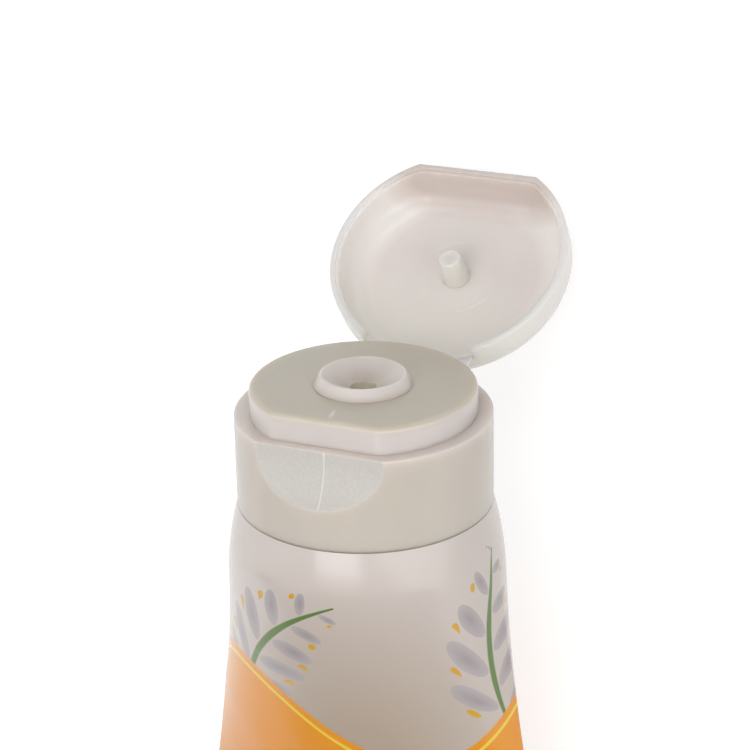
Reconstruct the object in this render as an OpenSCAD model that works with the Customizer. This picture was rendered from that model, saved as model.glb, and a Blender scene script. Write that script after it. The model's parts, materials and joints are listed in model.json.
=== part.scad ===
// Squeeze tube with a flip-top cap, lying on its back with its lid open.
// Each piece is drawn upright first: Z runs along the tube with 0 at the cap's lower edge,
// +Y points to the hinge and -Y to the thumb scoop. laid() then lays the whole tube down on
// the front edge of its open lid and on the end of its crimped tail.

/* [Cap base] */
// Outer radius of the cap
cap_r = 20; // [17:0.5:26]
// Height of the skirt, from its lower edge to the shoulder the lid closes on
skirt_h = 14.8; // [13:0.2:20]
// Wall of the skirt and of the deck
cap_wall = 1.2; // [0.8:0.1:1.8]
// How far the flat front is cut in from the cap's radius
flat_depth = 2.9; // [1.5:0.1:4]
// Height of the raised deck above the shoulder
deck_h = 4.3; // [3:0.1:5]
// Space between the raised deck and the closed lid's wall
deck_gap = 1.1; // [0.5:0.1:2]
// Space between the deck's flat front and the closed lid's front wall
deck_flat_gap = 0.5; // [0.4:0.1:1]
// Rounding of the deck's top edge
deck_round = 0.8; // [0.3:0.1:1.2]
// Rounding of the shoulder's outer edge
shoulder_round = 0.3; // [0.1:0.1:0.6]

/* [Nozzle] */
// Radius of the nozzle ring where it stands on the deck
nozzle_foot_r = 7.6; // [7:0.1:8.5]
// Outer radius of the nozzle ring at its lip
nozzle_r = 6.8; // [5:0.1:6.9]
// Height of the nozzle ring above the deck
nozzle_h = 1.7; // [1.2:0.1:2.3]
// Width of the nozzle's rounded lip
lip_w = 0.7; // [0.3:0.1:1]
// Radius of the orifice
orifice_r = 2; // [1.9:0.1:3]
// Depth of the orifice's edge below the deck
orifice_down = 0.6; // [0:0.1:0.7]
// Width of the shallow groove round the nozzle
groove_w = 0.5; // [0.3:0.1:1]
// Depth of that groove
groove_d = 0.2; // [0.1:0.05:0.4]

/* [Thumb scoop] */
// Radius of the hollow that the thumb goes into
scoop_r = 10.4; // [8:0.2:16]
// How far the hollow reaches below the shoulder
scoop_drop = 8.3; // [6:0.1:9]

/* [Lid] */
// Height of the lid
lid_h = 8; // [7.8:0.1:10]
// Wall of the lid
lid_wall = 1.3; // [1:0.1:1.6]
// Thickness of the lid's top
lid_top = 1.3; // [1:0.1:1.4]
// Rounding of the lid's outer top edge
lid_round = 4.5; // [2:0.1:5]
// Rounding inside, between the lid's wall and its floor
lid_fillet = 4; // [1.5:0.1:4.4]
// Width of the small step round the rim's inner edge
rim_step_w = 0.5; // [0.2:0.1:0.7]
// Height of that step
rim_step_h = 0.4; // [0.2:0.1:0.8]
// Length of the pin that stops the orifice
pin_len = 5.5; // [4.5:0.1:6]
// Radius of the pin at the lid's floor
pin_base_r = 2.1; // [1.8:0.1:2.2]
// Radius of the pin at its tip
pin_tip_r = 1.4; // [1:0.1:1.5]
// Radius of the shallow dish in the pin's tip
pin_dish_r = 0.9; // [0.4:0.1:0.9]
// Depth of that dish
pin_dish_d = 0.3; // [0.1:0.1:0.5]
// Mean radius of the low ring on the lid's floor
ring_r = 6.9; // [6:0.1:8]
// Width of that ring
ring_w = 0.8; // [0.4:0.1:1.2]
// Height of that ring
ring_h = 0.3; // [0.1:0.05:0.3]
// Gap left between the closed lid's rim and the shoulder
seat_gap = 0.3; // [0.2:0.05:0.5]

/* [Hinge] */
// Angle by which the lid stands open
lid_open = 144; // [120:1:158]
// Height of the hinge line above the shoulder
hinge_up = 0.75; // [0.7:0.05:1]
// Distance from the middle to the inner end of each hinge notch
notch_in = 4.7; // [3:0.1:6]
// Length of each hinge notch
notch_len = 4.8; // [3:0.1:6]
// Height of each hinge notch in the lid's rim
notch_h = 2; // [1.5:0.1:3]
// Thickness of the straps in the notches
strap_t = 0.8; // [0.5:0.1:1.1]
// Space at each end of a strap in its notch
strap_side_gap = 0.4; // [0.2:0.1:0.8]
// Distance of each strap end from the hinge line
strap_gap = 0.1; // [0.1:0.05:0.2]

/* [Sleeve] */
// Radius of the sleeve where it is full and round
sleeve_r = 21.8; // [19:0.1:28]
// Length of the sleeve, with its crimp
sleeve_len = 105; // [80:1:160]
// Wall of the sleeve
sleeve_wall = 0.6; // [0.4:0.1:1]
// Length over which the sleeve narrows to the cap's radius
shoulder_len = 12; // [8:0.5:16]
// Length of sleeve that stays round below the head's rim
round_below = 1.5; // [1:0.5:3]
// Length of the flat crimped tail
crimp_len = 7; // [5:0.5:12]
// Space between the sleeve's upper edge and the cap
sleeve_gap = 0.1; // [0.05:0.05:0.3]

/* [Head] */
// Depth of the head's rim inside the sleeve
head_depth = 5; // [4:0.5:6]
// Thickness of the head's shoulder and rim
head_wall = 1.4; // [1:0.1:2]
// Space between the head's rim and the sleeve
weld_gap = 0.15; // [0.1:0.05:0.2]
// Outer radius of the neck
neck_r = 9.5; // [8.5:0.1:11]
// Height of the neck's top above the cap's lower edge
neck_h = 13.5; // [11:0.5:14]
// Wall of the neck
neck_wall = 1.4; // [1:0.1:2]
// How far the snap bead stands out from the neck
bead_out = 0.4; // [0.2:0.1:0.6]
// Height of the snap bead
bead_h = 1.6; // [1:0.1:2.5]
// Distance from the neck's top to the middle of the snap bead
bead_down = 3; // [2:0.1:4]
// Space between the neck and the cap's collar
snap_gap = 0.15; // [0.1:0.05:0.3]

/* [Cap inside] */
// Wall of the collar that snaps on the neck
collar_wall = 1.4; // [1:0.1:2]
// Height of the collar's lower edge above the cap's lower edge
collar_up = 2; // [1:0.5:5]
// Wall of the ring that seals the neck's bore
plug_wall = 1; // [0.6:0.1:1.5]
// How far the sealing ring reaches into the neck
plug_in = 1.5; // [0.5:0.1:3]

/* [Cream] */
// Space between the cream and what holds it
cream_gap = 0.25; // [0.2:0.05:0.5]

/* [Hidden] */

// Overlap that makes a cut run clear through a face
over = 1;
// Segments of a round edge in a turned outline
edge_steps = 8;
// Points round half of the sleeve's outline
half_steps = 32;
// Rings of the sleeve along its shoulder, and from there to the crimp
shoulder_rings = 6;
belly_rings = 12;
// Degrees of the outline, out of 90, over which the crimp thins to each of its side edges
crimp_edge = 20;
// Share of the taper at which the hollow inside the sleeve ends
hollow_end = 0.97;
// Share of the taper at which the cream ends
cream_end = 0.9;

// The shoulder is the face that the lid closes on, and the deck stands up from it
deck_z = skirt_h + deck_h;
flat_y = cap_r - flat_depth;
deck_r = cap_r - lid_wall - deck_gap;
deck_flat_y = flat_y - lid_wall - deck_flat_gap;

// The scoop's cylinder lies across the tube and touches the flat front's plane
scoop_y = flat_y + scoop_r;
scoop_z = skirt_h - scoop_drop + sqrt(pow(scoop_r, 2) - pow(scoop_r - flat_depth, 2));

// The closed lid's rim, and the hinge line
rim_z = skirt_h + seat_gap;
hinge_y = cap_r;
hinge_z = skirt_h + hinge_up;

// Inside the cap
collar_r = neck_r + snap_gap;
under_deck = deck_z - cap_wall;
under_shoulder = skirt_h - cap_wall;
bead_z = neck_h - bead_down;
neck_bore = neck_r - neck_wall;
plug_r = neck_bore - snap_gap;

// The sleeve: round down to the head's lower rim, then flattening evenly to the crimp
taper_start = head_depth + round_below;
taper_end = sleeve_len - crimp_len;
crimp_half = sleeve_wall;
head_top = -sleeve_gap;

function arc(cx, cy, r, from, to) =
    [for (i = [0:edge_steps]) let (a = from + (to - from) * i / edge_steps) [cx + r * cos(a), cy + r * sin(a)]];

// Radius and flatness of the sleeve at a depth below the cap
function sleeve_radius(depth) =
    depth < shoulder_len ? sleeve_r - (sleeve_r - cap_r) * pow(1 - depth / shoulder_len, 2) : sleeve_r;
function flatness(depth) =
    depth <= taper_start ? 0 : min(1, (depth - taper_start) / (taper_end - taper_start));

// Outline of the sleeve at a depth, moved in by inset. It keeps the same length all the way round
// while it turns from a circle into a flat line.
function outline(depth, inset) =
    let (
        f = flatness(depth),
        r = sleeve_radius(depth),
        wide = r * (1 + f * (PI / 2 - 1)),
        thick = r * (1 - f) + crimp_half * f,
        sx = (wide - inset) / wide,
        sy = (thick - inset) / thick
    )
    [for (i = [0:2 * half_steps - 1])
        let (
            turn = 180 * i / half_steps,
            a = turn > 180 ? 360 - turn : turn,
            side = turn > 180 ? -1 : 1,
            x = r * ((1 - f) * cos(a) + f * (90 - a) * PI / 180),
            y = r * (1 - f) * sin(a) + f * crimp_half * min(1, sin(a) / sin(crimp_edge))
        )
        [x * sx, side * y * sy, -depth]
    ];

// A closed skin over a list of rings with as many points each. Its walls face outwards where the
// rings run down and inwards where they run up, and its two ends are flat.
module skin(rings) {
    n = len(rings[0]);
    last = len(rings) - 1;
    points = [for (ring = rings) for (p = ring) p];
    sides = [for (k = [0:last - 1]) for (i = [0:n - 1]) [
        k * n + i,
        k * n + (i + 1) % n,
        (k + 1) * n + (i + 1) % n,
        (k + 1) * n + i
    ]];
    top = [for (i = [n - 1:-1:0]) i];
    bottom = [for (i = [0:n - 1]) last * n + i];
    polyhedron(points = points, faces = concat(sides, [top], [bottom]), convexity = 4);
}

// Depths of the rings from one depth down to another, closer along the shoulder
function ring_depths(from, to) = concat(
    [for (i = [0:shoulder_rings - 1]) from + (shoulder_len - from) * i / shoulder_rings],
    [for (i = [0:belly_rings]) shoulder_len + (to - shoulder_len) * i / belly_rings]
);

// Everything in front of a flat face at a distance from the axis, between two heights
module in_front(distance, bottom, top) {
    translate([-2 * cap_r, -distance - 2 * cap_r, bottom])
        cube([4 * cap_r, 2 * cap_r, top - bottom]);
}

// The cylinder across the tube that hollows the thumb scoop
module scoop_roll(radius) {
    translate([0, -scoop_y, scoop_z])
        rotate([0, 90, 0])
            cylinder(r = radius, h = 4 * cap_r, center = true, $fn = 128);
}

// Two blocks behind the axis, one to each side, that the hinge's straps and notches are cut with
module hinge_pair(inner, length, bottom, top) {
    for (side = [-1, 1])
        translate([side * (inner + length / 2), cap_r / 2, (bottom + top) / 2])
            cube([length, cap_r, top - bottom], center = true);
}

// A strap's band in each notch, as thick as strap_t and held just inside the hinge line
module hinge_straps(bottom, top) {
    intersection() {
        hinge_pair(notch_in + strap_side_gap, notch_len - 2 * strap_side_gap, bottom, top);
        translate([0, 0, bottom - over])
            difference() {
                cylinder(r = cap_r - strap_gap, h = top - bottom + 2 * over, $fn = 128);
                translate([0, 0, -over])
                    cylinder(r = cap_r - strap_gap - strap_t, h = top - bottom + 4 * over, $fn = 128);
            }
    }
}

// Turned body of the cap base: skirt, shoulder and raised deck
module cap_outside() {
    rotate_extrude($fn = 128)
        polygon(concat(
            [[0, 0], [cap_r, 0]],
            arc(cap_r - shoulder_round, skirt_h - shoulder_round, shoulder_round, 0, 90),
            [[0, skirt_h]]
        ));
    difference() {
        rotate_extrude($fn = 128)
            polygon(concat(
                [[0, skirt_h - over], [deck_r, skirt_h - over]],
                arc(deck_r - deck_round, deck_z - deck_round, deck_round, 0, 90),
                [
                    [nozzle_foot_r + groove_w, deck_z],
                    [nozzle_foot_r + groove_w / 2, deck_z - groove_d],
                    [nozzle_foot_r, deck_z - groove_d],
                    [nozzle_foot_r, deck_z],
                    [nozzle_r, deck_z + nozzle_h - lip_w / 2]
                ],
                arc(nozzle_r - lip_w / 2, deck_z + nozzle_h - lip_w / 2, lip_w / 2, 0, 180),
                [[orifice_r, deck_z - orifice_down], [0, deck_z - orifice_down]]
            ));
        in_front(deck_flat_y, skirt_h, deck_z + nozzle_h + over);
    }
}

// Hollow under the skirt and deck, kept one wall away from the scoop and the flat front
module cap_hollow() {
    difference() {
        union() {
            translate([0, 0, -over])
                cylinder(r = cap_r - cap_wall, h = under_shoulder + over, $fn = 128);
            translate([0, 0, under_shoulder - over])
                cylinder(r = deck_r - cap_wall, h = under_deck - under_shoulder + over, $fn = 128);
        }
        scoop_roll(scoop_r + cap_wall);
        in_front(deck_flat_y - cap_wall, under_shoulder, under_deck + over);
    }
}

// Collar that snaps over the neck's bead, and the ring that seals the neck's bore
module cap_collars() {
    difference() {
        translate([0, 0, collar_up])
            cylinder(r = collar_r + collar_wall, h = under_deck - collar_up + cap_wall / 2, $fn = 96);
        translate([0, 0, collar_up - over])
            cylinder(r = collar_r, h = under_deck - collar_up + over, $fn = 96);
        translate([0, 0, bead_z - bead_h / 2 - snap_gap])
            cylinder(r = collar_r + bead_out, h = bead_h + 2 * snap_gap, $fn = 96);
    }
    difference() {
        translate([0, 0, neck_h - plug_in])
            cylinder(r = plug_r, h = under_deck - neck_h + plug_in + cap_wall / 2, $fn = 96);
        translate([0, 0, neck_h - plug_in - over])
            cylinder(r = plug_r - plug_wall, h = under_deck - neck_h + plug_in + over, $fn = 96);
    }
}

module cap_base() {
    color([0.8, 0.78, 0.75]) laid() {
        difference() {
            union() {
                difference() {
                    cap_outside();
                    cap_hollow();
                    scoop_roll(scoop_r);
                }
                cap_collars();
            }
            translate([0, 0, under_deck - over])
                cylinder(r = orifice_r, h = cap_wall + 2 * over, $fn = 64);
        }
        hinge_straps(skirt_h - over, hinge_z - strap_gap);
    }
}

// Outside of the lid as it is when closed
module lid_outside() {
    difference() {
        translate([0, 0, rim_z])
            rotate_extrude($fn = 128)
                polygon(concat(
                    [[0, 0], [cap_r, 0]],
                    arc(cap_r - lid_round, lid_h - lid_round, lid_round, 0, 90),
                    [[0, lid_h]]
                ));
        in_front(flat_y, rim_z - over, rim_z + lid_h + over);
    }
}

// Bowl inside the lid, with the ring and the pin left standing on its floor
module lid_hollow() {
    inner_r = cap_r - lid_wall;
    depth = lid_h - lid_top;
    difference() {
        translate([0, 0, rim_z])
            rotate_extrude($fn = 128)
                polygon(concat(
                    [
                        [0, -over],
                        [inner_r + rim_step_w, -over],
                        [inner_r + rim_step_w, rim_step_h],
                        [inner_r, rim_step_h + rim_step_w]
                    ],
                    arc(inner_r - lid_fillet, depth - lid_fillet, lid_fillet, 0, 90),
                    [
                        [ring_r + ring_w / 2, depth],
                        [ring_r + ring_w / 4, depth - ring_h],
                        [ring_r - ring_w / 4, depth - ring_h],
                        [ring_r - ring_w / 2, depth],
                        [pin_base_r, depth],
                        [pin_tip_r, depth - pin_len],
                        [pin_dish_r, depth - pin_len],
                        [0, depth - pin_len + pin_dish_d]
                    ]
                ));
        in_front(flat_y - lid_wall, rim_z - 2 * over, rim_z + lid_h);
    }
}

module lid() {
    color([0.84, 0.82, 0.8]) laid() opened() {
        difference() {
            lid_outside();
            lid_hollow();
            hinge_pair(notch_in, notch_len, rim_z - over, rim_z + notch_h);
        }
        hinge_straps(hinge_z + strap_gap, rim_z + notch_h + strap_t);
    }
}

module tube_head() {
    top_r = sleeve_radius(0) - sleeve_wall - weld_gap;
    rim_r = sleeve_radius(head_depth) - sleeve_wall - weld_gap;
    color([0.86, 0.84, 0.8]) laid() rotate_extrude($fn = 96)
        polygon([
            [neck_bore, neck_h],
            [neck_r, neck_h],
            [neck_r, bead_z + bead_h / 2],
            [neck_r + bead_out, bead_z],
            [neck_r, bead_z - bead_h / 2],
            [neck_r, head_top],
            [top_r, head_top],
            [rim_r, -head_depth],
            [rim_r - head_wall, -head_depth],
            [top_r - head_wall, head_top - head_wall],
            [neck_bore, head_top - head_wall]
        ]);
}

// One skin that runs up the inside of the sleeve, over its upper edge and down the outside
module tube_sleeve() {
    hollow_depth = taper_start + (taper_end - taper_start) * hollow_end;
    inside = ring_depths(sleeve_gap, hollow_depth);
    outside = concat(ring_depths(sleeve_gap, taper_end), [sleeve_len]);
    color([0.8, 0.76, 0.72]) laid()
        skin(concat(
            [for (k = [len(inside) - 1:-1:0]) outline(inside[k], sleeve_wall)],
            [for (d = outside) outline(d, 0)]
        ));
}

module cream() {
    full_top = head_depth + cream_gap;
    full_end = taper_start + (taper_end - taper_start) * cream_end;
    inset = sleeve_wall + cream_gap;
    rim_r = sleeve_radius(head_depth) - sleeve_wall - weld_gap - head_wall - cream_gap;
    top_r = sleeve_radius(0) - sleeve_wall - weld_gap - head_wall - 2 * cream_gap;
    color([0.97, 0.95, 0.9]) laid() union() {
        skin([for (d = ring_depths(full_top, full_end)) outline(d, inset)]);
        rotate_extrude($fn = 96)
            polygon([
                [0, -head_depth - over],
                [rim_r, -head_depth - over],
                [rim_r, -head_depth],
                [top_r, head_top - head_wall - cream_gap],
                [neck_bore - cream_gap, head_top - head_wall - cream_gap],
                [neck_bore - cream_gap, neck_h - plug_in - cream_gap],
                [0, neck_h - plug_in - cream_gap]
            ]);
    }
}

// A point [y, z] of the closed lid, once the lid is open
function open_point(p) =
    let (y = p[0] - hinge_y, z = p[1] - hinge_z)
    [
        hinge_y + y * cos(lid_open) + z * sin(lid_open),
        hinge_z - y * sin(lid_open) + z * cos(lid_open)
    ];

// Where the lid's flat front meets its rounded top edge
edge_in = max(0, flat_y - (cap_r - lid_round));
edge_h = lid_h - lid_round + sqrt(pow(lid_round, 2) - pow(edge_in, 2));
lid_foot = open_point([-flat_y, rim_z + edge_h]);
lid_tip = open_point([-flat_y, rim_z]);
tail_foot = [crimp_half, -sleeve_len];

// Slope of the tube on the surface, with both feet on it
slope = atan2(lid_foot[0] - tail_foot[0], lid_foot[1] - tail_foot[1]);
function along(p) = p[0] * sin(slope) + p[1] * cos(slope);
function above(p) = p[1] * sin(slope) - p[0] * cos(slope);
middle = (along(lid_tip) + along([-crimp_half, -sleeve_len])) / 2;

module opened() {
    translate([0, hinge_y, hinge_z])
        rotate([-lid_open, 0, 0])
            translate([0, -hinge_y, -hinge_z])
                children();
}

module laid() {
    translate([0, -middle, -above(tail_foot)])
        rotate([slope - 90, 0, 0])
            children();
}

tube_sleeve();
tube_head();
cap_base();
lid();
cream();
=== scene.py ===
import json
from math import acos, cos, degrees, pi, radians, sin, sqrt

import bmesh
import bpy
from mathutils import Matrix, Vector, noise


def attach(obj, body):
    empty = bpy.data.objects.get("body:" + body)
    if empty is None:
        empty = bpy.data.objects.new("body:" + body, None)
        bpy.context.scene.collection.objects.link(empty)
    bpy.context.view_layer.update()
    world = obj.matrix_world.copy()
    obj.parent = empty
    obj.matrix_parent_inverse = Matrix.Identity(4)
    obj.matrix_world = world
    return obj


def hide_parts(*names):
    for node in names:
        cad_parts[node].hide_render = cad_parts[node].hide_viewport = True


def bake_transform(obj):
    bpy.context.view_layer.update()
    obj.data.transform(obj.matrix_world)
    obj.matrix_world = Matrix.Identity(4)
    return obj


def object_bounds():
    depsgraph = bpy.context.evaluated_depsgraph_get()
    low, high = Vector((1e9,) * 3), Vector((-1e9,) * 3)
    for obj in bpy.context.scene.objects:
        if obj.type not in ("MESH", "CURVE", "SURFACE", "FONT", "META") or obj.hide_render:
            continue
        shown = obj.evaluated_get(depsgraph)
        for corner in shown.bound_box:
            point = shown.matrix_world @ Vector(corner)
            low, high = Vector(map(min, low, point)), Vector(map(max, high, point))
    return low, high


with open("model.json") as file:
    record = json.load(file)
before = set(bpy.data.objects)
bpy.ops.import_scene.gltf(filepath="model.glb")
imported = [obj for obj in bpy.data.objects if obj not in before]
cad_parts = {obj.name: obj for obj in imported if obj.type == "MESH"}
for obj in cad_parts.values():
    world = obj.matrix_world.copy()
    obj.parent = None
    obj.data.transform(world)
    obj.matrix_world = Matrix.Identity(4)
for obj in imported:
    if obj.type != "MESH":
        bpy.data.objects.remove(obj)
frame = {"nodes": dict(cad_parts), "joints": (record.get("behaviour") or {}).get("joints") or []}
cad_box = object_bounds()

# A soft squeeze tube with an open flip-top cap, lying on its back. Every piece is modelled upright and in
# millimetres: Z runs along the tube with 0 at the cap's lower edge, +Y points to the hinge and -Y to the
# thumb scoop. lay_down() then puts it where the frame has it, in metres.

# Cap
CAP_R = 20.0
SKIRT_H = 14.8
CAP_WALL = 1.2
FLAT_Y = 17.1
SHOULDER_ROUND = 0.3
FOOT_ROUND = 0.05
DECK_R = 17.6
DECK_FLAT_Y = 15.3
DECK_H = 4.3
DECK_ROUND = 0.8
DECK_CORNER = 2.0

# Nozzle
NOZZLE_FOOT_R = 7.6
NOZZLE_R = 6.8
NOZZLE_H = 1.7
LIP_W = 0.7
ORIFICE_R = 2.05
ORIFICE_DOWN = 0.6
SPOUT_LEN = 3.0
SPOUT_WALL = 2.5
GROOVE_W = 0.5
GROOVE_D = 0.1
FUNNEL_FOOT = ((1, 0.55), (0.35, 0.2), (0, 0))  # its last points, outward and up from the orifice's edge

# Thumb scoop
SCOOP_R = 10.4
SCOOP_DROP = 8.3

# Lid
LID_H = 8.0
LID_WALL = 1.3
LID_TOP = 1.3
LID_ROUND = 4.5
LID_FILLET = 4.0
LID_CORNER = 5.0
SEAT_GAP = 0.3
RIM_STEP_W = 0.5
RIM_STEP_H = 0.4
PIN_LEN = 5.6
PIN_BASE_R = 2.3
PIN_TIP_R = 1.78
PIN_ROUND = 0.25
PIN_DISH_R = 1.35
PIN_DISH_D = 0.3
RING_R = 6.9
RING_W = 0.7
RING_H = 0.08

# Hinge
LID_OPEN = radians(144)
HINGE_UP = 0.75
NOTCH_IN = 4.7
NOTCH_LEN = 4.8
NOTCH_H = 2.0
STRAP_SIDE_GAP = 0.1
STRAP_T = 0.45
STRAP_ROOT = 0.6
STRAP_TUCK = 0.05
STRAP_ROWS = 6

# Sleeve
SLEEVE_R = 21.8
SLEEVE_LEN = 105.0
SLEEVE_WALL = 0.6
SLEEVE_GAP = 0.03
SHOULDER_LEN = 12.0
TAPER_START = 6.5
CRIMP_LEN = 7.0
CRIMP_EDGE = radians(20)
SLEEVE_ROWS = 150
SKIN_SHARE = 0.8
DENT = 0.25
DENT_SIZE = 17
DENT_END = 0.9

# How the tube lies: the slope of its axis, and the hinge's place in the frame
SLOPE = radians(21.469449)
HINGE_M = Vector(frame["joints"][0]["pos_m"])
MM = 0.001

# Worked out from the sizes above
DECK_Z = SKIRT_H + DECK_H
RIM_Z = SKIRT_H + SEAT_GAP
HINGE = Vector((0, CAP_R, SKIRT_H + HINGE_UP))
SCOOP_Y = FLAT_Y + SCOOP_R
SCOOP_Z = SKIRT_H - SCOOP_DROP + sqrt(SCOOP_R**2 - (SCOOP_R - (CAP_R - FLAT_Y)) ** 2)
GIRTH = 2 * pi * SLEEVE_R
ROUND_STEPS = 192

TURN = Matrix.Rotation(SLOPE - pi / 2, 4, "X")
LAY = Matrix.Translation(HINGE_M) @ TURN @ Matrix.Scale(MM, 4) @ Matrix.Translation(-HINGE)
OPEN = Matrix.Translation(HINGE) @ Matrix.Rotation(-LID_OPEN, 4, "X") @ Matrix.Translation(-HINGE)


def deselect_all():
    if bpy.context.object and bpy.context.object.mode != "OBJECT":
        bpy.ops.object.mode_set(mode="OBJECT")
    bpy.ops.object.select_all(action="DESELECT")


def only(piece):
    """Makes this piece the one that operators act on."""
    deselect_all()
    piece.select_set(True)
    bpy.context.view_layer.objects.active = piece


def pick(piece, test, kind="EDGE"):
    """In edit mode, selects just the faces, edges or vertices whose points all pass the test."""
    bpy.ops.mesh.select_mode(type=kind)
    bpy.ops.mesh.select_all(action="DESELECT")
    shape = bmesh.from_edit_mesh(piece.data)
    parts = {"VERT": shape.verts, "EDGE": shape.edges, "FACE": shape.faces}[kind]
    for part in parts:
        points = [part.co] if kind == "VERT" else [v.co for v in part.verts]
        part.select_set(all(test(p) for p in points))
    bmesh.update_edit_mesh(piece.data)


def arc(cx, cz, r, start, end, steps=8):
    """Points on a round stretch of an outline, angles in degrees."""
    turns = [radians(start + (end - start) * i / steps) for i in range(steps + 1)]
    return [(cx + r * cos(t), cz + r * sin(t)) for t in turns]


def traced(name, points):
    """Draws a line through the points, extruding one vertex. Leaves it in edit mode, all selected."""
    deselect_all()
    bpy.ops.mesh.primitive_plane_add(size=1)
    piece = bpy.context.object
    piece.name = name
    bpy.ops.object.mode_set(mode="EDIT")
    bpy.ops.mesh.select_mode(type="VERT")
    bpy.ops.mesh.select_all(action="SELECT")
    bpy.ops.mesh.merge(type="CENTER")
    bpy.ops.transform.translate(value=points[0])
    for before, after in zip(points, points[1:]):
        step = Vector(after) - Vector(before)
        bpy.ops.mesh.extrude_vertices_move(TRANSFORM_OT_translate={"value": step})
    bpy.ops.mesh.select_all(action="SELECT")
    return piece


def turned(name, outline):
    """A solid turned from an outline of (radius, height) points, as on a lathe."""
    piece = traced(name, [(r, 0, z) for r, z in outline])
    bpy.ops.mesh.spin(steps=ROUND_STEPS, angle=2 * pi, center=(0, 0, 0), axis=(0, 0, 1))
    bpy.ops.mesh.select_all(action="SELECT")
    bpy.ops.mesh.remove_doubles(threshold=0.001)
    bpy.ops.mesh.normals_make_consistent(inside=False)
    bpy.ops.object.mode_set(mode="OBJECT")
    return piece


def flat_fronted(name, radius, front, corner, bottom, top):
    """A round block with a flat front at -Y, whose two upright corners are rounded."""
    reach = front - corner
    side = acos(reach / (radius - corner))
    big = arc(0, 0, radius, degrees(side) - 90, 270 - degrees(side), ROUND_STEPS)
    cx = (radius - corner) * sin(side)
    left = arc(-cx, -reach, corner, 270 - degrees(side), 270, 8)
    right = arc(cx, -reach, corner, 270, 270 + degrees(side), 8)
    piece = traced(name, [(x, y, bottom) for x, y in big + left[1:] + right[:-1]])
    bpy.ops.mesh.edge_face_add()
    bpy.ops.mesh.extrude_region_move(TRANSFORM_OT_translate={"value": (0, 0, top - bottom)})
    bpy.ops.mesh.select_all(action="SELECT")
    bpy.ops.mesh.normals_make_consistent(inside=False)
    bpy.ops.object.mode_set(mode="OBJECT")
    return piece


def round_rim(piece, height, size, segments=6):
    """Rounds the edges that lie at one height of a block."""
    only(piece)
    bpy.ops.object.mode_set(mode="EDIT")
    pick(piece, lambda p: abs(p.z - height) < 0.001)
    bpy.ops.mesh.bevel(offset=size, segments=segments, profile=0.5, affect="EDGES", clamp_overlap=False)
    bpy.ops.object.mode_set(mode="OBJECT")


def roll(radius, length=60):
    """A cylinder across the tube at the thumb scoop."""
    deselect_all()
    bpy.ops.mesh.primitive_cylinder_add(
        vertices=256, radius=radius, depth=length, location=(0, -SCOOP_Y, SCOOP_Z), rotation=(0, pi / 2, 0)
    )
    bpy.ops.object.transform_apply(location=True, rotation=True, scale=True)
    return bpy.context.object


def block(low, high):
    """A box between two corners."""
    deselect_all()
    size = Vector(high) - Vector(low)
    bpy.ops.mesh.primitive_cube_add(size=1, location=(Vector(low) + Vector(high)) / 2, scale=size)
    bpy.ops.object.transform_apply(location=True, rotation=True, scale=True)
    return bpy.context.object


def combine(piece, other, how="DIFFERENCE"):
    """Cuts the other solid out of the piece, or joins it on, and deletes it."""
    only(piece)
    cut = piece.modifiers.new("cut", "BOOLEAN")
    cut.operation = how
    cut.solver = "MANIFOLD"
    cut.object = other
    bpy.ops.object.modifier_apply(modifier=cut.name)
    bpy.data.objects.remove(other)
    return piece


def smooth(piece, angle=30):
    """Smooth shading that keeps flat faces flat and edges sharper than the angle."""
    only(piece)
    bpy.ops.object.shade_smooth_by_angle(angle=radians(angle))
    even = piece.modifiers.new("even", "WEIGHTED_NORMAL")
    even.keep_sharp = True
    bpy.ops.object.modifier_apply(modifier=even.name)


def lay_down(piece):
    """Puts an upright piece in millimetres where the tube lies, in metres."""
    piece.data.transform(LAY)
    piece.data.update()


# Pieces


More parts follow.
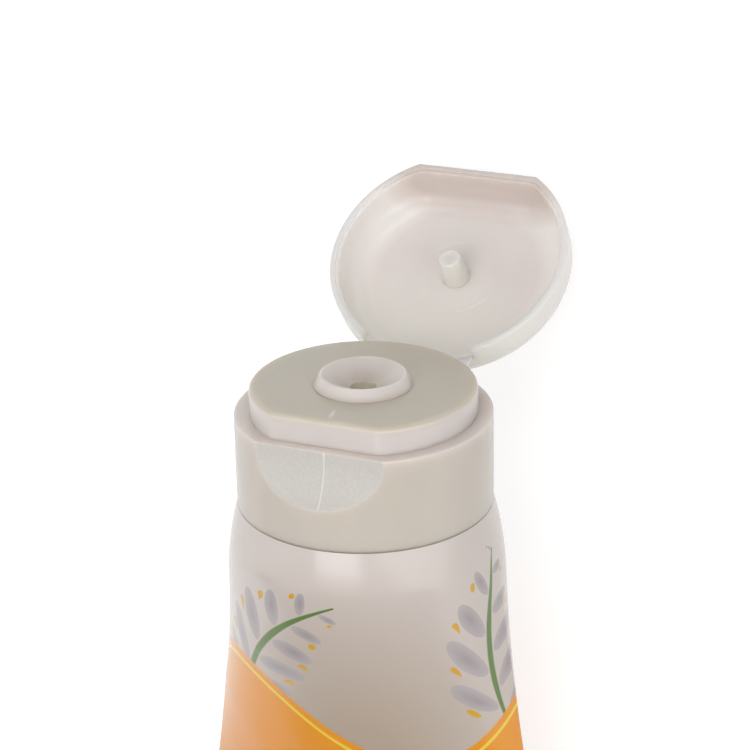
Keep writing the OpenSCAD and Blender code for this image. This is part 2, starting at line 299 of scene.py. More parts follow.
def cap_shell():
    """The fixed half of the cap: skirt, shoulder, raised deck and nozzle, hollow inside."""
    low = [(0, 0), (CAP_R - FOOT_ROUND, 0)]
    edge = arc(CAP_R - FOOT_ROUND, FOOT_ROUND, FOOT_ROUND, -90, 0, 4)[1:]
    top = arc(CAP_R - SHOULDER_ROUND, SKIRT_H - SHOULDER_ROUND, SHOULDER_ROUND, 0, 90, 4)
    cap = turned("cap_shell", low + edge + top + [(0, SKIRT_H)])
    deck = flat_fronted("deck", DECK_R, DECK_FLAT_Y, DECK_CORNER, SKIRT_H - 0.6, DECK_Z)
    round_rim(deck, DECK_Z, DECK_ROUND)
    combine(cap, deck, "UNION")
    groove_low = DECK_Z - GROOVE_D
    groove = [
        (NOZZLE_FOOT_R - 0.5, DECK_Z + 1),
        (NOZZLE_FOOT_R - 0.5, groove_low),
        (NOZZLE_FOOT_R + GROOVE_W / 2, groove_low),
        (NOZZLE_FOOT_R + GROOVE_W, DECK_Z + 0.02),
        (NOZZLE_FOOT_R + GROOVE_W, DECK_Z + 1),
    ]
    combine(cap, turned("groove", groove + groove[:1]))
    lip_x, lip_z, lip = NOZZLE_R - LIP_W / 2, DECK_Z + NOZZLE_H - LIP_W / 2, LIP_W / 2
    ring = [(0, DECK_Z - 0.4), (NOZZLE_FOOT_R, DECK_Z - 0.4), (NOZZLE_FOOT_R, DECK_Z)]
    combine(cap, turned("nozzle", ring + arc(lip_x, lip_z, lip, 20, 90, 6) + [(0, lip_z + lip)]), "UNION")
    orifice_z = DECK_Z - ORIFICE_DOWN
    funnel = [(0, lip_z + 1), (lip_x, lip_z + 1)] + arc(lip_x, lip_z, lip, 90, 150, 6)
    funnel += [(ORIFICE_R + outward, orifice_z + upward) for outward, upward in FUNNEL_FOOT]
    combine(cap, turned("funnel", funnel + [(0, orifice_z)]))
    under_shoulder, under_deck = SKIRT_H - CAP_WALL, DECK_Z - CAP_WALL
    hollow = turned(
        "hollow",
        [
            (0, -1),
            (CAP_R - CAP_WALL, -1),
            (CAP_R - CAP_WALL, under_shoulder),
            (DECK_R - CAP_WALL, under_shoulder),
            (DECK_R - CAP_WALL, under_deck),
            (0, under_deck),
        ],
    )
    combine(hollow, roll(SCOOP_R + CAP_WALL))
    combine(hollow, block((-30, -30, under_shoulder - 0.05), (30, CAP_WALL - DECK_FLAT_Y, under_deck + 1)))
    combine(cap, hollow)
    combine(cap, roll(SCOOP_R))
    spout_low = under_deck - SPOUT_LEN
    spout_r, spout_top = ORIFICE_R + SPOUT_WALL, DECK_Z - 0.9
    spout = [(0, spout_low), (spout_r, spout_low), (spout_r, spout_top), (0, spout_top)]
    combine(cap, turned("spout", spout), "UNION")
    bore = [(0, spout_low - 1), (ORIFICE_R, spout_low - 1), (ORIFICE_R, DECK_Z + 4), (0, DECK_Z + 4)]
    combine(cap, turned("bore", bore))
    return cap


def flip_lid():
    """The moving half of the cap, open: a shallow bowl with a flat front, a pin and two hinge notches."""
    depth = LID_H - LID_TOP
    shell = arc(CAP_R - LID_ROUND, RIM_Z + LID_H - LID_ROUND, LID_ROUND, 0, 90, 14)
    lid = turned("flip_lid", [(0, RIM_Z), (CAP_R, RIM_Z)] + shell + [(0, RIM_Z + LID_H)])
    combine(lid, block((-30, -40, RIM_Z - 1), (30, -FLAT_Y, RIM_Z + LID_H + 1)))
    inner = CAP_R - LID_WALL
    bowl = flat_fronted("bowl", inner, FLAT_Y - LID_WALL, LID_CORNER, RIM_Z - 1, RIM_Z + depth)
    round_rim(bowl, RIM_Z + depth, LID_FILLET, 10)
    combine(lid, bowl)
    step = flat_fronted(
        "step", inner + RIM_STEP_W, FLAT_Y - LID_WALL + RIM_STEP_W, LID_CORNER, RIM_Z - 1, RIM_Z + RIM_STEP_H
    )
    combine(lid, step)
    floor_z = RIM_Z + depth
    ring = [(RING_R + RING_W / 2, floor_z + 0.3), (RING_R + RING_W / 2, floor_z + 0.02)]
    ring += [(RING_R + RING_W / 6, floor_z - RING_H), (RING_R - RING_W / 6, floor_z - RING_H)]
    ring += [(RING_R - RING_W / 2, floor_z + 0.02), (RING_R - RING_W / 2, floor_z + 0.3)]
    combine(lid, turned("ring", ring + ring[:1]), "UNION")
    pin = [(0, floor_z + 0.5), (PIN_BASE_R, floor_z + 0.5), (PIN_BASE_R, floor_z)]
    pin += [(PIN_TIP_R, floor_z - PIN_LEN + PIN_ROUND)]
    pin += arc(PIN_TIP_R - PIN_ROUND, floor_z - PIN_LEN + PIN_ROUND, PIN_ROUND, 0, -90, 4)[1:]
    pin += [(PIN_DISH_R, floor_z - PIN_LEN), (0, floor_z - PIN_LEN + PIN_DISH_D)]
    combine(lid, turned("pin", pin), "UNION")
    for side in (-1, 1):
        ends = sorted((side * NOTCH_IN, side * (NOTCH_IN + NOTCH_LEN)))
        combine(lid, block((ends[0], 5, RIM_Z - 1), (ends[1], 25, RIM_Z + NOTCH_H)))
    lid.data.transform(OPEN)
    return lid


def sleeve_point(u, depth):
    """Where a point of the sleeve lies. u is the share of the way round from the back, and depth is how far
    the point is below the cap."""
    a = (pi / 2 + 2 * pi * u) % (2 * pi)
    side = 1
    if a > pi:
        a = 2 * pi - a
        side = -1
    bare = max(0, 1 - depth / SHOULDER_LEN)
    r = SLEEVE_R - (SLEEVE_R - CAP_R) * bare**2
    flat = min(1, max(0, (depth - TAPER_START) / (SLEEVE_LEN - CRIMP_LEN - TAPER_START)))
    x = r * ((1 - flat) * cos(a) + flat * (pi / 2 - a))
    y = r * (1 - flat) * sin(a) + flat * SLEEVE_WALL * min(1, sin(a) / sin(CRIMP_EDGE))
    return Vector((x, side * y, -depth))


def printed_sleeve():
    """The soft sleeve, round at the cap and pressed flat at its tail, slightly uneven from being held."""
    deselect_all()
    bpy.ops.mesh.primitive_grid_add(
        x_subdivisions=ROUND_STEPS, y_subdivisions=SLEEVE_ROWS, size=1, calc_uvs=True
    )
    sleeve = bpy.context.object
    sleeve.name = "printed_sleeve"
    length = SLEEVE_LEN - SLEEVE_GAP
    for vertex in sleeve.data.vertices:
        u, v = vertex.co.x + 0.5, 0.5 - vertex.co.y
        spot = sleeve_point(u, SLEEVE_GAP + v * length)
        slack = sin(pi * (v / DENT_END)) ** 0.5 if v < DENT_END else 0
        dent = noise.noise(spot / DENT_SIZE) * DENT * slack
        outward = Vector((spot.x, spot.y, 0)).normalized()
        vertex.co = spot - outward * abs(dent)
    bpy.ops.object.mode_set(mode="EDIT")
    bpy.ops.mesh.select_mode(type="VERT")
    bpy.ops.mesh.select_all(action="SELECT")
    bpy.ops.mesh.remove_doubles(threshold=0.001)
    bpy.ops.mesh.normals_make_consistent(inside=False)
    bpy.ops.object.mode_set(mode="OBJECT")
    wall = sleeve.modifiers.new("wall", "SOLIDIFY")
    wall.thickness = SLEEVE_WALL * SKIN_SHARE
    wall.offset = -1
    bpy.ops.object.modifier_apply(modifier=wall.name)
    return sleeve


def hinge_straps():
    """The two thin straps that join cap and lid. Each runs from the cap's shoulder into its notch in the
    lid, follows the cap's curve, and is rooted a little inside both."""
    half = NOTCH_LEN / 2 - STRAP_SIDE_GAP
    cap_end, cap_edge = SKIRT_H - STRAP_ROOT, SKIRT_H - STRAP_TUCK
    lid_edge, lid_end = RIM_Z + NOTCH_H - STRAP_TUCK, RIM_Z + NOTCH_H + STRAP_ROOT
    free = STRAP_ROWS - 2
    parts = []
    for side in (-1, 1):
        deselect_all()
        bpy.ops.mesh.primitive_grid_add(x_subdivisions=8, y_subdivisions=STRAP_ROWS, size=1)
        strap = bpy.context.object
        middle = side * (NOTCH_IN + NOTCH_LEN / 2)
        for vertex in strap.data.vertices:
            x = middle + vertex.co.x * 2 * half
            y = sqrt((CAP_R - STRAP_T / 2) ** 2 - x**2)
            row = round((vertex.co.y + 0.5) * STRAP_ROWS)
            near_cap, near_lid = Vector((x, y, cap_edge)), OPEN @ Vector((x, y, lid_edge))
            between = [near_cap.lerp(near_lid, k / free) for k in range(free + 1)]
            rows = [Vector((x, y, cap_end))] + between + [OPEN @ Vector((x, y, lid_end))]
            vertex.co = rows[row]
        parts.append(strap)
    only(parts[0])
    parts[1].select_set(True)
    bpy.ops.object.join()
    straps = bpy.context.object
    straps.name = "hinge_straps"
    thick = straps.modifiers.new("thick", "SOLIDIFY")
    thick.thickness = STRAP_T
    thick.offset = 0
    bpy.ops.object.modifier_apply(modifier=thick.name)
    return straps


# Materials

# Print, in millimetres on the unrolled sheet: X runs round from the front's middle, and Y is 0 at the cap's
# edge and falls towards the tail
SHEET_TOP = ("#DACFCA", "#D2C7C0")
# Painted shade, not print: the sheet darkens towards this colour down the tube
SHEET_PAINTED_SHADE = "#CBBFB4"
# Painted reflection, not print: a dark, warm patch in the middle of the front
FRONT_PAINTED_REFLECTION = "#B3A08C"
PRINT_EDGE = 26.0
STEM_GREEN = "#5F8038"
LEAF_TINTS = ("#B9AFB0", "#A79C9E")
BERRY_YELLOW = "#D9A51F"
ORANGE_TINTS = ("#F09A04", "#E88B00")
LINE_YELLOW = "#F7D444"
LEAF_PITCH = 6.6
WAVE_START = 1.83
WAVE_RISE = 7.0
WAVE_LEVEL = -32.0
TAIL_RISE = 3.0
TAIL_LEVEL = -86.0
INK_EDGE = 0.08
LINE_DOWN = 1.9
CRIMP_PITCH = 1.2

# Each sprig: the middle its stem bends round, the stem's radius, and its leaves' centre and reach along it
SPRIGS = (((18, -44), 38, -36, 21), ((62, -22), 33, -51, 17))

# Marks on the deck: place, size, turn and tint. The first is a nick, the second a speck.
MARKS = (((0.3, -12.5), (0.5, 1.9), 0.15, "#F2EEEA"), ((11.6, -14.1), (0.35, 0.3), 0.0, "#8C7C66"))
MARK_DEPTH = 1.5


def colour(code):
    """sRGB hex to the linear colour that Blender's sockets take."""
    parts = [int(code[i : i + 2], 16) / 255 for i in (1, 3, 5)]
    linear = [c / 12.92 if c <= 0.04045 else ((c + 0.055) / 1.055) ** 2.4 for c in parts]
    return (*linear, 1)


def add(tree, kind, links=None, values=None, **settings):
    """Adds a node: settings are its own, values fill its inputs, and links join other nodes to them."""
    made = tree.nodes.new(kind)
    for name, value in settings.items():
        setattr(made, name, value)
    for name, value in (values or {}).items():
        made.inputs[name].default_value = value
    for name, source in (links or {}).items():
        tree.links.new(source, made.inputs[name])
    return made


def new_material(name, **look):
    """A material with one surface shader. look fills its sockets, with _ for a space."""
    material = bpy.data.materials.new(name)
    material.use_nodes = True
    tree = material.node_tree
    tree.nodes.clear()
    shader = add(tree, "ShaderNodeBsdfPrincipled")
    for socket, value in look.items():
        shader.inputs[socket.replace("_", " ")].default_value = value
    add(tree, "ShaderNodeOutputMaterial", {"Surface": shader.outputs[0]})
    return material, tree, shader


def calc(tree, operation, *numbers):
    """The result of a maths node. Each number is a plain value or another node's output."""
    made = add(tree, "ShaderNodeMath", operation=operation)
    for socket, number in enumerate(numbers):
        if isinstance(number, (int, float)):
            made.inputs[socket].default_value = number
        else:
            tree.links.new(number, made.inputs[socket])
    return made.outputs[0]


def away_from(tree, value, level):
    """How far a value is from a level, either way."""
    return calc(tree, "ABSOLUTE", calc(tree, "SUBTRACT", value, level))


def ramp(tree, value, start, end, low=0.0, high=1.0):
    """Goes from low to high while the value goes from start to end, and stays level beyond them."""
    span = {"From Min": start, "From Max": end, "To Min": low, "To Max": high}
    return add(tree, "ShaderNodeMapRange", {"Value": value}, span).outputs[0]


def mottle(tree, spot, **look):
    """Soft noise. look fills the noise's sockets."""
    return add(tree, "ShaderNodeTexNoise", {"Vector": spot}, look).outputs[0]


def parts_of(tree, spot):
    """The X, Y and Z of a spot, by name."""
    return add(tree, "ShaderNodeSeparateXYZ", {"Vector": spot}).outputs


def length_of(tree, spot):
    """How far a spot is from 0."""
    return add(tree, "ShaderNodeVectorMath", {0: spot}, operation="LENGTH").outputs["Value"]


def from_axis(tree, spot):
    """How far a spot is from the tube's axis."""
    level = add(tree, "ShaderNodeVectorMath", {0: spot}, {1: (1, 1, 0)}, operation="MULTIPLY")
    return length_of(tree, level.outputs[0])


def oval(tree, spot, place, size, turn=0.0):
    """A soft oval: 1 in its middle, falling to 0 at its edge."""
    where = {"Location": place, "Rotation": (0, 0, turn), "Scale": size}
    inside = add(tree, "ShaderNodeMapping", {"Vector": spot}, where, vector_type="TEXTURE")
    soft = add(tree, "ShaderNodeTexGradient", {"Vector": inside.outputs[0]}, gradient_type="SPHERICAL")
    return soft.outputs["Fac"]


def bumped(tree, shader, height, strength, rise, sockets=("Normal",)):
    """Lights the surface as if it rose with the height. rise is in millimetres."""
    bump = add(tree, "ShaderNodeBump", {"Height": height}, {"Strength": strength, "Distance": rise * MM})
    for socket in sockets:
        tree.links.new(bump.outputs[0], shader.inputs[socket])


def tube_coordinates(tree):
    """Object coordinates turned back to the upright tube, in millimetres."""
    spot = add(tree, "ShaderNodeTexCoord").outputs["Object"]
    place = {
        "Location": LAY.inverted().translation,
        "Rotation": (pi / 2 - SLOPE, 0, 0),
        "Scale": (1 / MM,) * 3,
    }
    return add(tree, "ShaderNodeMapping", {"Vector": spot}, place).outputs[0]


def blended(tree, share, first, second):
    """One colour turning into another by a share. Each is a hex code or a node's output."""
    mix = add(tree, "ShaderNodeMix", {"Factor": share}, data_type="RGBA")
    for socket, paint in ((6, first), (7, second)):
        if isinstance(paint, str):
            mix.inputs[socket].default_value = colour(paint)
        else:
            tree.links.new(paint, mix.inputs[socket])
    return mix.outputs[2]


def milky_polypropylene(name, pink, cream, grey, depth):
    """Polypropylene from a polished mould: light sinks into its walls and evens out, under a soft gloss.
    Three close tints drift into each other in it. depth is how far light goes in, in millimetres."""
    material, tree, shader = new_material(
        name,
        Roughness=0.25,
        IOR=1.49,
        Subsurface_Weight=0.9,
        Subsurface_Radius=(1.0, 0.9, 0.82),
        Subsurface_Scale=depth * MM,
    )
    spot = tube_coordinates(tree)
    milk = blended(tree, mottle(tree, spot, Scale=0.07, Detail=2.0), pink, cream)
    milk = blended(tree, mottle(tree, spot, Scale=0.21, Detail=1.0), milk, grey)
    bumped(tree, shader, mottle(tree, spot, Scale=0.3, Detail=4.0), 0.3, 0.12)
    return material, tree, shader, spot, milk


def cap_polypropylene():
    """The cap's own milky polypropylene. Painted shade greys the deck top, which is also a little yellower
    in its own tone, and runs as a yellowish line along the lower lip; painted light makes the deck's side
    wall, the nozzle and the orifice's bore paler. A nick and a speck mark the deck."""
    tints = ("#E1D1C8", "#D9CFBF", "#D8CCC1")
    material, tree, shader, spot, milk = milky_polypropylene("cap_polypropylene", *tints, 3.5)
    height = parts_of(tree, spot)["Z"]
    radius = from_axis(tree, spot)
    everywhere = 30
    # Height of each band's middle, its reach up and down, its inner and outer radius, and its tint
    painted_light_and_shade_bands = (
        # Painted light: the deck's side wall and the shoulder at its foot, paler
        (DECK_Z - 2.6, 2.8, DECK_R - 3, everywhere, "#E5D9D4"),
        # Painted shade: the deck top greyer, and a little yellower in its own tone
        (DECK_Z - 0.1, 0.5, NOZZLE_FOOT_R, everywhere, "#D0C6B5"),
        # Painted light: the nozzle, paler
        (DECK_Z + 1.2, 1.5, 0, NOZZLE_FOOT_R, "#E2D9D3"),
        # Painted light: the orifice's bore, near white, as if lit from within
        (DECK_Z - 2.6, 2.2, 0, ORIFICE_R + 0.1, "#FBF4E0"),
        # Painted shade: a yellowish darker line along the lower lip, at the seam with the sleeve
        (0.05, 0.35, CAP_R - 1, everywhere, "#D2C3A4"),
    )
    for level, reach, low_r, high_r, tint in painted_light_and_shade_bands:
        near_it = ramp(tree, away_from(tree, height, level), reach, reach / 3)
        in_ring = calc(tree, "COMPARE", radius, (low_r + high_r) / 2, (high_r - low_r) / 2)
        milk = blended(tree, calc(tree, "MULTIPLY", near_it, in_ring), milk, tint)
    for place, size, turn, tint in MARKS:
        mark = oval(tree, spot, (*place, DECK_Z), (*size, MARK_DEPTH), turn)
        milk = blended(tree, mark, milk, tint)
    tree.links.new(milk, shader.inputs["Base Color"])
    return material


def lid_polypropylene_painted_light():
    """The same plastic in the thin lid, painted paler than the cap all over as painted light, for the light
    that comes
    through it from both sides: painted light makes it palest in its rounded sides and by the hinge, and
    painted shade darkens its upright front wall. The pin is thick and greyer."""
    # Painted light: these tints are paler than the cap's, for the light that comes through the thin lid
    tints = ("#F0E3E1", "#ECE6DF", "#E7DEDB")
    material, tree, shader, spot, milk = milky_polypropylene("lid_polypropylene_painted_light", *tints, 2.5)
    shut = {"Location": OPEN.translation, "Rotation": (-LID_OPEN, 0, 0)}
    closed = add(tree, "ShaderNodeMapping", {"Vector": spot}, shut, vector_type="TEXTURE").outputs[0]
    radius = from_axis(tree, closed)
    back = parts_of(tree, closed)["Y"]
    # What each ramp runs along, where it starts and ends, the most it covers, and its tint
    ramps = (
        # Painted light: palest in the rounded sides and by the hinge
        (radius, CAP_R - 6.5, CAP_R - 3.5, 0.7, "#FAF3EF"),
        (back, 0, 15, 0.8, "#FAF4EA"),
        # Painted shade: the upright front wall darker
        (back, -11, -15, 0.9, "#D3C8C2"),
        (radius, PIN_BASE_R + 0.1, PIN_BASE_R, 1.0, "#E0DED8"),
    )
    for source, start, end, most, tint in ramps:
        milk = blended(tree, ramp(tree, source, start, end, high=most), milk, tint)
    tree.links.new(milk, shader.inputs["Base Color"])
    return material


def frosted_polypropylene():
    """The scoop's face, from a spark-eroded mould: fine matt grain, a shade paler, with the mould's joint
    line down it."""
    material, tree, shader = new_material(
        "frosted_polypropylene",
        Roughness=0.55,
        IOR=1.49,
        Subsurface_Weight=0.6,
        Subsurface_Radius=(1.0, 0.86, 0.74),
        Subsurface_Scale=2 * MM,
    )
    grain_mm = 0.3  # drawn about twice as coarse as the real grain, so that it shows
    joint_at, joint_edge, joint_core = 0.8, 0.22, 0.05
    spot = tube_coordinates(tree)
    grain = mottle(tree, spot, Scale=1 / grain_mm, Detail=2.0)
    frost = blended(tree, grain, "#C6C1BB", "#DDD9D3")
    joint = ramp(tree, away_from(tree, parts_of(tree, spot)["X"], joint_at), joint_edge, joint_core)
    tree.links.new(blended(tree, joint, frost, "#E9E7E2"), shader.inputs["Base Color"])
    bumped(tree, shader, calc(tree, "MULTIPLY_ADD", joint, grain, joint), 0.6, 0.1)
    return material


def sprig(tree, spot, middle, radius, centre, reach):
    """A curved stem round a middle point, with leaves and berries that grow smaller towards both its ends.
    Gives the shares of stem, leaf and berry at a spot of the printed sheet, all in millimetres."""
    shift = add(tree, "ShaderNodeVectorMath", {0: spot}, {1: (*middle, 0)}, operation="SUBTRACT").outputs[0]
    apart = parts_of(tree, shift)
    along = calc(tree, "MULTIPLY", calc(tree, "ARCTAN2", apart["X"], apart["Y"]), radius)
    across = calc(tree, "SUBTRACT", length_of(tree, shift), radius)
    wide = calc(tree, "ABSOLUTE", across)
    gone = away_from(tree, along, centre)
    size = ramp(tree, gone, reach * 0.3, reach, 1.0, 0.25)
    stagger = calc(tree, "MULTIPLY", calc(tree, "SIGN", across), LEAF_PITCH / 4)
    leaned = calc(tree, "MULTIPLY_ADD", wide, -0.7, calc(tree, "ADD", along, stagger))
    in_pitch = calc(tree, "WRAP", leaned, LEAF_PITCH / 2, -LEAF_PITCH / 2)
    grown_x = calc(tree, "DIVIDE", in_pitch, size)
    grown_y = calc(tree, "DIVIDE", wide, size)
    local = add(tree, "ShaderNodeCombineXYZ", {"X": grown_x, "Y": grown_y}).outputs[0]
    stem = ramp(tree, grown_y, 0.75, 0.5)
    leaf = oval(tree, local, (0, 4.9, 0), (2.2, 4.1, 1))
    berry = oval(tree, local, (-LEAF_PITCH / 2, 7.4, 0), (1.1, 1.1, 1))
    within = calc(tree, "LESS_THAN", gone, reach)
    return [calc(tree, "MULTIPLY", share, within) for share in (stem, leaf, berry)]


def bare_sheet(tree, sheet, down):
    """The unprinted white: faintly clouded, with painted shade darker down the tube and a painted dark, warm
    reflection in the middle of its front.
    """
    paint = blended(tree, mottle(tree, sheet, Scale=0.06, Detail=2.0), *SHEET_TOP)
    # Painted shade: darker down the tube
    paint = blended(tree, ramp(tree, down, -2.0, -40.0), paint, SHEET_PAINTED_SHADE)
    # Painted reflection: a dark, warm patch in the middle of the front
    dark_reflection = oval(tree, sheet, (5, -45, 0), (26, 42, 1))
    return blended(tree, ramp(tree, dark_reflection, 0.0, 0.7, high=0.8), paint, FRONT_PAINTED_REFLECTION)


def with_sprigs(tree, place, paint):
    """Prints green stems with grey-lilac leaves and yellow berries, the same on the front and the back."""
    across = calc(tree, "WRAP", place["X"], GIRTH / 2 - PRINT_EDGE, -PRINT_EDGE)
    spot = add(tree, "ShaderNodeCombineXYZ", {"X": across, "Y": place["Y"]}).outputs[0]
    for shape in SPRIGS:
        stem, leaf, berry = sprig(tree, spot, *shape)
        paint = blended(tree, stem, paint, STEM_GREEN)
        veined = blended(tree, ramp(tree, leaf, 0.1, 0.9), *LEAF_TINTS)
        paint = blended(tree, ramp(tree, leaf, 0.0, 0.06), paint, veined)
        paint = blended(tree, ramp(tree, berry, 0.02, 0.2), paint, BERRY_YELLOW)
    return paint


def with_orange(tree, place, paint):
    """Prints the wavy orange field, with a thin yellow line under its upper edge."""
    swell = calc(tree, "COSINE", calc(tree, "MULTIPLY_ADD", place["X"], 4 * pi / GIRTH, WAVE_START))
    top = calc(tree, "MULTIPLY_ADD", swell, WAVE_RISE, WAVE_LEVEL)
    tail = calc(tree, "MULTIPLY_ADD", swell, TAIL_RISE, TAIL_LEVEL)
    under_top = calc(tree, "SUBTRACT", top, place["Y"])
    above_tail = calc(tree, "SUBTRACT", place["Y"], tail)
    orange = blended(tree, ramp(tree, under_top, 0, 45), *ORANGE_TINTS)
    line = ramp(tree, away_from(tree, under_top, LINE_DOWN), 0.42, 0.3)
    orange = blended(tree, line, orange, LINE_YELLOW)
    edges = [ramp(tree, side, -INK_EDGE, INK_EDGE) for side in (under_top, above_tail)]
    return blended(tree, calc(tree, "MULTIPLY", *edges), paint, orange)


def sheet_height(tree, sheet, down):
    """Soft unevenness all over, and the fine ridges that the crimping jaws press into the tail."""
    slack = mottle(tree, sheet, Scale=0.11, Detail=3.0)
    ridge = calc(tree, "SINE", calc(tree, "MULTIPLY", down, 2 * pi / CRIMP_PITCH))
    start = CRIMP_LEN - SLEEVE_LEN
    crimp = ramp(tree, down, start + 0.5, start - 0.5, high=0.5)
    return calc(tree, "MULTIPLY_ADD", ridge, crimp, slack)


def printed_polyethylene():
    """Glossy white polyethylene, offset printed and varnished: flat inks under one even shine."""
    material, tree, shader = new_material(
        "printed_polyethylene",
        Roughness=0.26,
        IOR=1.51,
        Subsurface_Weight=0.25,
        Subsurface_Radius=(1.0, 0.86, 0.74),
        Subsurface_Scale=1.0 * MM,
        Coat_Weight=0.35,
        Coat_Roughness=0.12,
    )
    length = SLEEVE_LEN - SLEEVE_GAP
    unrolled = {"Location": (-0.5 * GIRTH, -length - SLEEVE_GAP, 0), "Scale": (GIRTH, length, 1)}
    flat = add(tree, "ShaderNodeTexCoord").outputs["UV"]
    sheet = add(tree, "ShaderNodeMapping", {"Vector": flat}, unrolled).outputs[0]
    place = parts_of(tree, sheet)
    paint = with_sprigs(tree, place, bare_sheet(tree, sheet, place["Y"]))
    tree.links.new(with_orange(tree, place, paint), shader.inputs["Base Color"])
    bumped(tree, shader, sheet_height(tree, sheet, place["Y"]), 0.3, 0.3, ("Normal", "Coat Normal"))
    return material


def neck_polyethylene():
    """Plain moulded polyethylene of the head: waxy and matt, with faint flow marks round the neck."""
    material, tree, shader = new_material(
        "neck_polyethylene",
        Roughness=0.42,
        IOR=1.51,
        Subsurface_Weight=0.4,
        Subsurface_Radius=(1.0, 0.9, 0.8),
        Subsurface_Scale=1.5 * MM,
    )
    flow = mottle(tree, tube_coordinates(tree), Scale=0.25, Distortion=0.6)
    tree.links.new(blended(tree, flow, "#D8D2C6", "#E4DFD5"), shader.inputs["Base Color"])
    return material


def sun_cream():
    """Thick white lotion: soft, slightly wet, with light deep in it."""
    material, tree, shader = new_material(
        "sun_cream",
        Roughness=0.35,
        IOR=1.42,
        Subsurface_Weight=0.8,
        Subsurface_Radius=(1.0, 0.95, 0.88),
        Subsurface_Scale=2.0 * MM,
    )
    fold = mottle(tree, tube_coordinates(tree), Scale=0.4, Detail=2.0)
    tree.links.new(blended(tree, fold, "#EDE7D6", "#F4F0E4"), shader.inputs["Base Color"])
    bumped(tree, shader, fold, 0.4, 0.5)
    return material


def dress(piece, *materials):
    """Gives a piece these materials alone, all of it the first one."""
    piece.data.materials.clear()
    for material in materials:
        piece.data.materials.append(material)
    for face in piece.data.polygons:
        face.material_index = 0


# The object

cap_plastic = cap_polypropylene()
frosted = frosted_polypropylene()

cap = cap_shell()
smooth(cap)
dress(cap, cap_plastic, frosted)
# The scoop's faces are those that lie on the roll that cut it, at the front
for face in cap.data.polygons:
    from_roll = sqrt((face.center.y + SCOOP_Y) ** 2 + (face.center.z - SCOOP_Z) ** 2)
    if abs(from_roll - SCOOP_R) < 0.05 and face.center.y < 3 - FLAT_Y:
        face.material_index = 1
lay_down(cap)
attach(cap, "tube")
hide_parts("cap_base")

lid = flip_lid()
smooth(lid)
lid_plastic = lid_polypropylene_painted_light()
dress(lid, lid_plastic)
lay_down(lid)
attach(lid, "lid")
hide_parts("lid")

sleeve = printed_sleeve()
smooth(sleeve, 60)
dress(sleeve, printed_polyethylene())
lay_down(sleeve)
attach(sleeve, "tube")
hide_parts("tube_sleeve")

straps = hinge_straps()
smooth(straps, 50)
dress(straps, lid_plastic)
lay_down(straps)
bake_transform(straps)

dress(frame["nodes"]["tube_head"], neck_polyethylene())
dress(frame["nodes"]["cream"], sun_cream())

# Camera: found by matching the cap's circles and edges to the picture
AZIMUTH = radians(23.24)
ELEVATION = radians(23.0)
ROLL = radians(-1.15)
DISTANCE = 380.52
ASIDE = -1.83
ALONG = -0.36
AIM = Vector((0, 0, 20))

back = Vector((sin(AZIMUTH) * cos(ELEVATION), -cos(AZIMUTH) * cos(ELEVATION), sin(ELEVATION)))
right = Vector((cos(AZIMUTH), sin(AZIMUTH), 0))
up = back.cross(right)
rolled_right = cos(ROLL) * right + sin(ROLL) * up
rolled_up = cos(ROLL) * up - sin(ROLL) * right
eye = AIM + back * DISTANCE - rolled_right * ASIDE - rolled_up * ALONG
look = Matrix((rolled_right, rolled_up, back)).transposed().to_4x4()
camera = bpy.data.objects.new("camera", bpy.data.cameras.new("camera"))
bpy.context.scene.collection.objects.link(camera)
camera.data.lens = 119.37
camera.data.sensor_width = 36
camera.data.clip_start = 0.02
camera.matrix_world = Matrix.Translation(LAY @ eye) @ (TURN @ look)
bpy.context.scene.camera = camera

# Floor and light: the glow the floor shows, its size and how far it lies under the tube, in metres, and
# the point that the lamps face
FLOOR_GLOW = 0.72
FLOOR_SIZE = 6
FLOOR_BELOW = 0.0001
LIT_POINT = Vector((0, 0.01, 0.03))


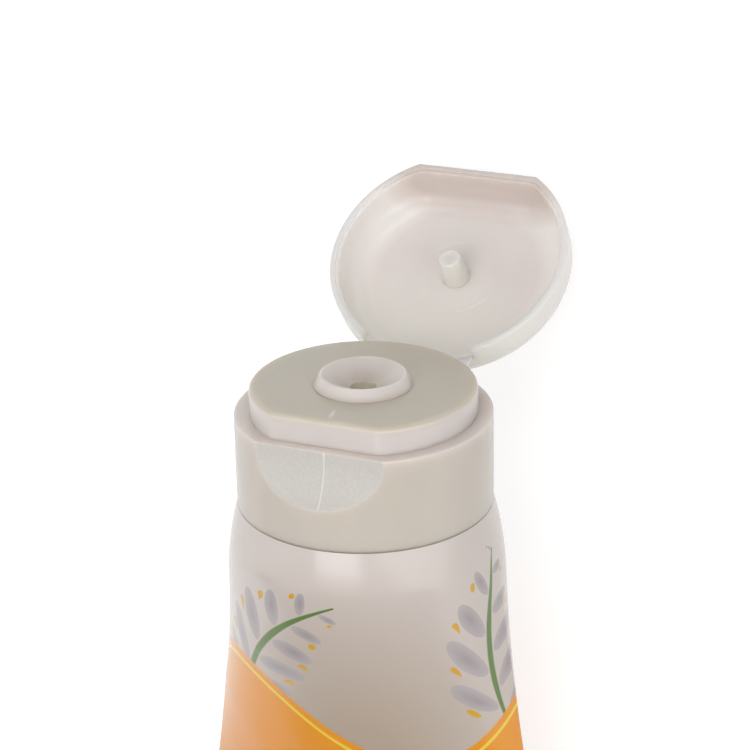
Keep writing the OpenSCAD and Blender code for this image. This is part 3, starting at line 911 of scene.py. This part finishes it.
def white_floor():
    """A matt white table top. To the camera and to reflections it adds light of its own, so that it shows as
    the white background, while the object's shadow still falls on it."""
    material, tree, shader = new_material("white_floor", Roughness=0.9)
    ray = add(tree, "ShaderNodeLightPath").outputs
    direct = calc(tree, "MAXIMUM", ray["Is Camera Ray"], ray["Is Glossy Ray"])
    direct = calc(tree, "MAXIMUM", direct, ray["Is Transmission Ray"])
    spot = add(tree, "ShaderNodeTexCoord").outputs["Object"]
    paper = blended(tree, mottle(tree, spot, Scale=60.0), "#C8C8C8", "#CECECE")
    tree.links.new(blended(tree, direct, paper, "#B4B4B4"), shader.inputs["Base Color"])
    glow = add(tree, "ShaderNodeEmission", {"Strength": direct}, {"Color": (FLOOR_GLOW,) * 3 + (1,)})
    both = add(tree, "ShaderNodeAddShader", {0: shader.outputs[0], 1: glow.outputs[0]})
    surface = [node for node in tree.nodes if node.bl_idname == "ShaderNodeOutputMaterial"][0]
    tree.links.new(both.outputs[0], surface.inputs[0])
    return material


deselect_all()
bpy.ops.mesh.primitive_plane_add(size=FLOOR_SIZE, location=(0, 0, cad_box[0][2] - FLOOR_BELOW))
floor = bpy.context.object
floor.name = "floor"
floor.data.materials.append(white_floor())


def soft_box(name, place, size, brightness):
    """A rectangular studio lamp that faces the cap. brightness is what its cloth shows, 1 for white."""
    light = bpy.data.lights.new(name, "AREA")
    light.shape = "RECTANGLE"
    light.size, light.size_y = size
    light.energy = brightness * pi * size[0] * size[1]
    lamp = bpy.data.objects.new(name, light)
    bpy.context.scene.collection.objects.link(lamp)
    lamp.location = place
    lamp.rotation_euler = (LIT_POINT - Vector(place)).to_track_quat("-Z", "Y").to_euler()


soft_box("left_box", (-0.7, -0.1, 0.35), (0.4, 1.0), 0.7)
soft_box("right_box", (0.7, -0.1, 0.35), (0.4, 1.0), 1.7)
soft_box("top_box", (0.0, -0.15, 0.9), (0.6, 0.5), 3.2)
soft_box("back_box", (0.0, 0.6, 0.75), (0.7, 0.5), 1.6)
world = bpy.data.worlds.new("white_room")
bpy.context.scene.world = world
world.use_nodes = True
room = world.node_tree.nodes["Background"]
room.inputs["Color"].default_value = (1, 1, 1, 1)
room.inputs["Strength"].default_value = 0.34

bpy.context.scene.view_settings.view_transform = "Standard"
